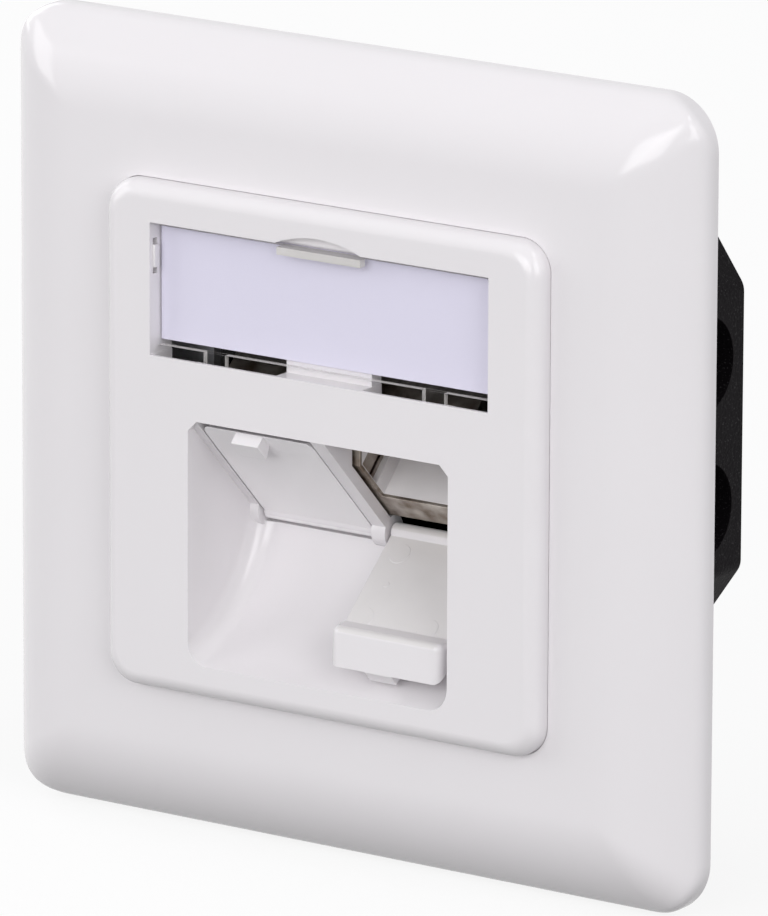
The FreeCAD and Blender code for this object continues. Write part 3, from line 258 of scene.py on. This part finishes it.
def border_height(out, top, radius):
    """Height of the border's section at this distance from the middle."""
    fall = max(0.0, out - FLAT_END)
    return top - radius + math.sqrt(radius ** 2 - fall ** 2)


def mitred(x, z, top, radius):
    """Height of the border where two sides meet: the lower of the two, blended more and more outwards."""
    first, second = border_height(abs(x), top, radius), border_height(abs(z), top, radius)
    blend = MITRE_SPREAD * max(MITRE_START, (abs(x) + abs(z)) / 2 - FLAT_END) ** 2
    share = max(blend - abs(first - second), 0.0) / blend
    return min(first, second) - share ** 2 * blend / 4


def square_ring(half, corner):
    """Points round a square with round corners, in the same order and number for any size."""
    middle = half - corner
    arcs = []
    for turn, (side, rise) in enumerate(((1, 1), (-1, 1), (-1, -1), (1, -1))):
        angles = [math.radians(90 * (turn + step / CORNER_STEPS)) for step in range(CORNER_STEPS + 1)]
        arcs.append([(side * middle + corner * math.cos(angle), rise * middle + corner * math.sin(angle))
                     for angle in angles])
    ring = []
    shares = [step / SIDE_STEPS for step in range(1, SIDE_STEPS)]
    for arc, following in zip(arcs, arcs[1:] + arcs[:1]):
        (x, z), (next_x, next_z) = arc[-1], following[0]
        ring += arc + [(x + (next_x - x) * share, z + (next_z - z) * share) for share in shares]
    return ring


def edge_drop(inset):
    """How far the rounded outer edge lies below the bevel at this distance in from the outline."""
    if inset >= EDGE_RUN:
        return 0.0
    rounded = EDGE_HEIGHT + math.sqrt(EDGE_ROUND ** 2 - (EDGE_ROUND - inset) ** 2)
    return border_height(FRAME_HALF - inset, FRAME_FRONT, BEVEL_RADIUS) - rounded


rings = []
for step in range(OPENING_STEPS + 1):
    angle = math.radians(90 * step / OPENING_STEPS)
    half = OPENING + OPENING_ROUND * (1 - math.cos(angle))
    height = FRAME_FRONT - OPENING_ROUND * (1 - math.sin(angle))
    rings.append([(x, z, height) for x, z in square_ring(half, OPENING_CORNER)])
for half in BAND_RINGS + [FLAT_END + step * BEVEL_STEP for step in range(BEVEL_RINGS)]:
    share = (half - OPENING) / (FRAME_HALF - EDGE_ROUND - OPENING)
    corner = OPENING_CORNER + (FRAME_CORNER - EDGE_ROUND - OPENING_CORNER) * share
    rings.append([(x, z, mitred(x, z, FRAME_FRONT, BEVEL_RADIUS)) for x, z in square_ring(half, corner)])
for inset in EDGE_INSETS + [EDGE_RUN * (1 - step / EDGE_STEPS) ** 2 for step in range(EDGE_STEPS + 1)]:
    rings.append([(x, z, mitred(x, z, FRAME_FRONT, BEVEL_RADIUS) - edge_drop(inset))
                  for x, z in square_ring(FRAME_HALF - inset, FRAME_CORNER - inset)])
for inset, height in ((0.0, FOOT_ROUND), (FOOT_ROUND, 0.0), (FRAME_WALL, 0.0)):
    rings.append([(x, z, height) for x, z in square_ring(FRAME_HALF - inset, FRAME_CORNER - inset)])
core = [(FRAME_HALF - FRAME_WALL - step * CORE_STEP, FRAME_CORNER - FRAME_WALL) for step in range(CORE_RINGS)]
for half, corner in core + [(COLLAR, COLLAR_CORNER)]:
    rings.append([(x, z, mitred(x, z, CORE_TOP, CORE_RADIUS)) for x, z in square_ring(half, corner)])
for half, corner, height in (
        (COLLAR, COLLAR_CORNER, COLLAR_BACK), (LEDGE, LEDGE_CORNER, COLLAR_BACK),
        (LEDGE, LEDGE_CORNER, LEDGE_FRONT), (OPENING, OPENING_CORNER, LEDGE_FRONT)):
    rings.append([(x, z, height) for x, z in square_ring(half, corner)])

white_gloss = Finish("white_glossy_plastic", IOR=1.49)
drift = white_gloss.noise(14.0)
peel = white_gloss.noise(1.6)
white_gloss.feed("Base Color", white_gloss.between(drift, (0.765, 0.740, 0.760), (0.785, 0.760, 0.780)))
white_gloss.feed("Roughness", 0.12 + 0.07 * peel)
white_gloss.relief(peel, depth=0.002)

shape = bmesh.new()
loops = [[shape.verts.new((x * MM, -height * MM, z * MM)) for x, z, height in ring] for ring in rings]
for here, onward in zip(loops, loops[1:] + loops[:1]):
    for index in range(len(here)):
        after = (index + 1) % len(here)
        shape.faces.new((here[index], here[after], onward[after], onward[index])).smooth = True
bmesh.ops.recalc_face_normals(shape, faces=shape.faces)
for edge in shape.edges:
    edge.smooth = edge.calc_face_angle() < CREASE
put(shape, "frame_border", white_gloss, "outlet", "cover_frame")

# Centre plate: one white moulding with a rounded rim, the shallow tray for the label and the deep recess
# for the ports, whose floor curves up to the hinge line. One screw under the label holds it down.
PLATE_HALF, PLATE_CORNER, SEEN_CORNER = 25.0, 4.5, 3.2
SLOT_START, SLOT_STOP = 4.95, 19.4
SLOT_FLOOR, SLOT_TOP = 7.15, 8.6
SLOT_FRONT, SLOT_BACK = -7.95, -4.6


def carved(shape, boxes):
    """Cuts boxes out of a shape. Each box is given by two opposite corners in millimetres."""
    bmesh.ops.remove_doubles(shape, verts=shape.verts, dist=WELD)
    cutters = bmesh.new()
    for low, high in boxes:
        size = (Vector(high) - Vector(low)) * MM
        place = (Vector(high) + Vector(low)) * MM / 2
        bmesh.ops.create_cube(cutters, size=1, matrix=Matrix.Translation(place) @ Matrix.Diagonal((*size, 1)))
    stands = []
    for part in (shape, cutters):
        mesh = bpy.data.meshes.new("carving")
        part.to_mesh(mesh)
        part.free()
        stands.append(bpy.data.objects.new("carving", mesh))
        bpy.context.scene.collection.objects.link(stands[-1])
    cut = stands[0].modifiers.new("cut", "BOOLEAN")
    cut.operation, cut.solver, cut.object = "DIFFERENCE", "EXACT", stands[1]
    left_over = bmesh.new()
    left_over.from_object(stands[0], bpy.context.evaluated_depsgraph_get())
    for stand in stands:
        mesh = stand.data
        bpy.data.objects.remove(stand)
        bpy.data.meshes.remove(mesh)
    return left_over


def tighten_corner(point):
    """Moves a point near a corner of the plate outwards, so that the corner has the smaller radius."""
    middle, inset = PLATE_HALF - PLATE_CORNER, PLATE_CORNER - SEEN_CORNER
    across, rise = abs(point.x) / MM - middle, abs(point.z) / MM - middle
    if across <= 0 or rise <= 0:
        return
    reach = math.hypot(across, rise)
    ahead = inset * (across + rise) / reach
    outline = ahead + math.sqrt(ahead ** 2 - 2 * inset ** 2 + SEEN_CORNER ** 2)
    if min(across, rise) / reach * outline < inset:
        outline = PLATE_CORNER * reach / max(across, rise)
    point.x = math.copysign((middle + across * outline / PLATE_CORNER) * MM, point.x)
    point.z = math.copysign((middle + rise * outline / PLATE_CORNER) * MM, point.z)


shape = carved(shape_of("centre_plate"), [
    ((start, SLOT_FRONT, SLOT_FLOOR), (stop, SLOT_BACK, SLOT_TOP))
    for start, stop in ((-SLOT_STOP, -SLOT_START), (SLOT_START, SLOT_STOP))])
soften(shape, radius=0.18)
for vert in shape.verts:
    tighten_corner(vert.co)
put(shape, "plate_moulding", white_gloss, "outlet", "centre_plate")

# Dust flaps: one white flap in front of each jack, turning on two moulded pins. The free end is a thick
# bar with rounded edges and a small finger tab, and ejector pins left round marks on the inner face.
HINGE = Vector((0, 3.5, -8.6))
CLOSED_LEAN, TRAVEL = 45, 87
FLAP_PLACE, FLAP_INNER, BAR_FROM = 7.4, 0.446, 1.62
MARK_RISE, MARK_SLOPE, MARK_POINTS = 0.05, 0.06, 32
WIDE_MARK, SMALL_MARK = 1.1, 0.3
# each mark's place across the flap and up from the hinge line, and its radius
MARKS = ((-4.4, 2.6, WIDE_MARK), (-4.7, 10.2, WIDE_MARK), (2.7, 10.2, WIDE_MARK), (-4.1, 6.2, SMALL_MARK))
SQUARE_ON = 0.95
GLOSS, POLISHED_LIT, MATT_SHADED = range(3)


def ejector_mark(shape, middle, across, along, outward, radius):
    """A round pad that hardly stands out of the flap's inner face, closed on its hidden side."""
    rims = []
    for rise, reach in ((-MARK_RISE, radius + MARK_SLOPE), (MARK_RISE, radius)):
        turns = [2 * math.pi * step / MARK_POINTS for step in range(MARK_POINTS)]
        rims.append([shape.verts.new((middle + outward * rise + across * reach * math.cos(turn)
                                      + along * reach * math.sin(turn)) * MM) for turn in turns])
    sides = [shape.faces.new((rims[0][here - 1], rims[0][here], rims[1][here], rims[1][here - 1]))
             for here in range(MARK_POINTS)]
    pad = sides + [shape.faces.new(rims[1]), shape.faces.new(rims[0])]
    bmesh.ops.recalc_face_normals(shape, faces=pad)


# Outer flap faces: a brighter copy of the white plastic, painted light for the bounce light on the shut flap.
polished_lit_face = Finish("white_polished_flap_painted_light", Roughness=0.16, IOR=1.49)
polished_lit_face.feed("Base Color", polished_lit_face.between(
    polished_lit_face.noise(9.0), (0.88, 0.86, 0.875), (0.90, 0.88, 0.895)))
# Inner flap faces: a greyer copy of the white plastic, painted shade on the open flap's inner face.
matt_shaded_face = Finish("white_matt_flap_painted_shade", Roughness=0.4, IOR=1.49)
matt_shaded_face.feed("Base Color", matt_shaded_face.between(
    matt_shaded_face.noise(3.0, detail=3), (0.66, 0.64, 0.64), (0.70, 0.68, 0.68)))
for side, place, lean in (("left", -FLAP_PLACE, CLOSED_LEAN), ("right", FLAP_PLACE, CLOSED_LEAN + TRAVEL)):
    slope = math.radians(lean)
    across = Vector((1, 0, 0))
    along = Vector((0, -math.sin(slope), math.cos(slope)))
    outward = Vector((0, math.cos(slope), math.sin(slope)))
    shape = shape_of("dust_flap_" + side)
    soften(shape, radius=0.7, steps=5, clamp=False, wanted=lambda edge: all(
        (vert.co / MM - HINGE).dot(outward) > BAR_FROM for vert in edge.verts))
    soften(shape, radius=0.2, steps=3)
    for sideways, up_face, radius in MARKS:
        middle = HINGE + across * (place + sideways) + along * up_face + outward * FLAP_INNER
        ejector_mark(shape, middle, across, along, outward, radius)
    flap = put(shape, "flap_" + side, white_gloss, side + "_flap", "dust_flap_" + side)
    flap.data.materials.append(polished_lit_face.material)
    flap.data.materials.append(matt_shaded_face.material)
    for face in flap.data.polygons:
        facing = face.normal.dot(outward)
        face.material_index = POLISHED_LIT if facing < -SQUARE_ON else MATT_SHADED if facing > SQUARE_ON else GLOSS

# Label card: a strip of matt bluish white card, cut to size with a knife. It lies loose in the tray of the
# centre plate, and the clear cover keeps it there.
CARD_LEFT = -19.3
card_stock = Finish("bluish_white_card", Roughness=0.85)
fibre = card_stock.noise(0.5, detail=4, stretch=(1, 1, 3))
card_stock.feed("Base Color", card_stock.between(fibre, (0.750, 0.722, 0.845), (0.775, 0.750, 0.868)))
card_stock.relief(fibre, depth=0.01)
shape = shape_of("label_card")
for vert in shape.verts:
    if vert.co.x < 0:
        vert.co.x = CARD_LEFT * MM
soften(shape, radius=0.04, steps=1)
put(shape, "label_paper", card_stock, "outlet", "label_card")

# Label cover: a pane of clear polished plastic over the card. It tilts out on two lugs at its lower edge
# and has a lift tab in the scoop at the top. The edges and the tab are painted a pale grey, as painted
# highlight where the clear plastic catches light.
TAB_HALF, TAB_LOW, TAB_SEEN_LOW = 4.8, 19.6, 20.05
PANE_FRONT, PANE_SIDE = -7.35, 18.95
NEAR, EDGE_ON = 0.02, 0.85
clear_pane = Finish("clear_polished_plastic", IOR=1.49, Base_Color=(0.95, 0.95, 0.96, 1))
scuffs = clear_pane.noise(4.0, detail=3)
clear_pane.feed("Roughness", 0.03 + 0.05 * scuffs)
see_through = clear_pane.node("ShaderNodeBsdfTransparent", {}, {"Color": (0.985, 0.985, 0.99, 1)})
inside = clear_pane.node("ShaderNodeNewGeometry", output="Backfacing")
gloss = clear_pane.node("ShaderNodeFresnel", {}, {"IOR": 1.2}) * (1 - inside)
polish = Signal(clear_pane, clear_pane.surface.outputs[0])
clear_pane.show(clear_pane.node("ShaderNodeMixShader", {}, {0: gloss, 1: see_through, 2: polish}))
# Edges and tab: a pale, partly see-through grey as painted highlight on the clear plastic.
pale_edge_highlight = Finish("clear_plastic_edges_painted_highlight", IOR=1.49, Alpha=0.75, Base_Color=(0.72, 0.70, 0.67, 1))
pale_edge_highlight.feed("Roughness", 0.14 + 0.14 * pale_edge_highlight.noise(0.6))
shape = shape_of("label_window")
for vert in shape.verts:
    if abs(vert.co.z / MM - TAB_LOW) < NEAR and abs(vert.co.x / MM) < TAB_HALF + NEAR:
        vert.co.z = TAB_SEEN_LOW * MM
soften(shape, radius=0.08)
cover = put(shape, "label_pane", clear_pane, "label_cover", "label_window")
cover.data.materials.append(pale_edge_highlight.material)
for face in cover.data.polygons:
    on_tab = face.center.y < (PANE_FRONT - NEAR) * MM
    on_side = abs(face.center.x) > PANE_SIDE * MM
    face.material_index = int(on_tab or (abs(face.normal.y) < EDGE_ON and not on_side))

# Floor, light and camera: a plain pale floor that shows white to the camera but keeps the shadow, soft lamps
# from above and in front, and a long lens at the height and side that the outlet is seen from.
FLOOR, FLOOR_METRES = -39.8, 6
FLOOR_WHITE = 0.86


def background_rays(shading):
    """1 for what the camera sees itself, in a reflection or through a clear pane, and 0 for other light."""
    rays = shading.node("ShaderNodeLightPath", output="Is Camera Ray")
    for kind in ("Is Glossy Ray", "Is Transmission Ray"):
        rays = rays + shading.node("ShaderNodeLightPath", output=kind)
    return rays


bpy.ops.mesh.primitive_plane_add(size=FLOOR_METRES, location=(0, 0, FLOOR * MM))
floor = bpy.context.object
floor.name = "floor"
pale = Finish("pale_floor", Roughness=0.9)
pale.feed("Base Color", pale.between(pale.noise(400.0), (0.14, 0.14, 0.14), (0.16, 0.16, 0.16)))
lit = Signal(pale, pale.surface.outputs[0])
white = pale.node("ShaderNodeEmission", {}, {"Color": (1, 1, 1, 1), "Strength": 1.0})
paper = pale.node("ShaderNodeBsdfDiffuse", {}, {"Color": (0.88, 0.88, 0.88, 1)})
seen = pale.node("ShaderNodeMixShader", {}, {0: FLOOR_WHITE, 1: paper, 2: white})
pale.show(pale.node("ShaderNodeMixShader", {}, {0: background_rays(pale), 1: lit, 2: seen}))
floor.data.materials.append(pale.material)

world = bpy.data.worlds.new("studio")
bpy.context.scene.world = world
world.use_nodes = True
air = Shading(world.node_tree, "World Output")
backdrop = air.node("ShaderNodeBackground", {}, {"Color": (1, 1, 1, 1), "Strength": 1.0})
ambient = air.node("ShaderNodeBackground", {}, {"Color": (0.97, 0.98, 1, 1), "Strength": 0.47})
air.show(air.node("ShaderNodeMixShader", {}, {0: background_rays(air), 1: ambient, 2: backdrop}))


def direction(azimuth, elevation):
    """The way from the outlet to a place that many degrees to the right of straight ahead, and up."""
    side, rise = math.radians(azimuth), math.radians(elevation)
    return Vector((math.sin(side) * math.cos(rise), -math.cos(side) * math.cos(rise), math.sin(rise)))


def soft_lamp(name, azimuth, elevation, distance, size, power, lean=0):
    """A soft box that looks at the outlet from a distance in metres, turned in its own plane by its lean."""
    lamp = bpy.data.lights.new(name, "AREA")
    lamp.shape, lamp.energy = "RECTANGLE", power
    lamp.size, lamp.size_y = size
    stand = bpy.data.objects.new(name, lamp)
    bpy.context.scene.collection.objects.link(stand)
    stand.location = direction(azimuth, elevation) * distance
    turn = stand.location.to_track_quat("Z", "Y").to_matrix() @ Matrix.Rotation(math.radians(lean), 3, "Z")
    stand.rotation_euler = turn.to_euler()


soft_lamp("front_box", 2, 16, distance=1.6, size=(1.2, 0.9), power=10.2)
soft_lamp("streak_box", 6, 19, distance=1.6, size=(0.12, 2.1), power=1.2, lean=-45)
soft_lamp("left_box", -60, 16, distance=1.4, size=(0.7, 0.9), power=4.3)
soft_lamp("right_box", 60, 18, distance=1.4, size=(0.7, 0.9), power=6.2)
soft_lamp("far_left_box", -105, 25, distance=1.2, size=(0.8, 0.8), power=5.0)
soft_lamp("far_right_box", 100, 25, distance=1.2, size=(0.8, 0.8), power=1.45)
soft_lamp("corner_box", 78, 56, distance=1.4, size=(0.25, 0.3), power=1.2)

AZIMUTH, ELEVATION, ROLL = 34.56, 14.49, 0.23
CAMERA_DISTANCE, SHIFT_ACROSS, SHIFT_DOWN = 1.023, 1.65, 0.75
turn, roll = math.radians(AZIMUTH), math.radians(ROLL)
back = direction(AZIMUTH, ELEVATION)
right = Vector((math.cos(turn), math.sin(turn), 0))
up = back.cross(right)
across = right * math.cos(roll) + up * math.sin(roll)
upright = up * math.cos(roll) - right * math.sin(roll)
lens = bpy.data.cameras.new("long_lens")
lens.sensor_fit, lens.sensor_height, lens.lens = "VERTICAL", 36.0, 422.5
camera = bpy.data.objects.new("camera", lens)
bpy.context.scene.collection.objects.link(camera)
camera.matrix_world = Matrix((across, upright, back)).transposed().to_4x4()
camera.matrix_world.translation = (
    back * CAMERA_DISTANCE + across * SHIFT_ACROSS * MM - upright * SHIFT_DOWN * MM)
bpy.context.scene.camera = camera
bpy.context.scene.view_settings.view_transform = "Standard"
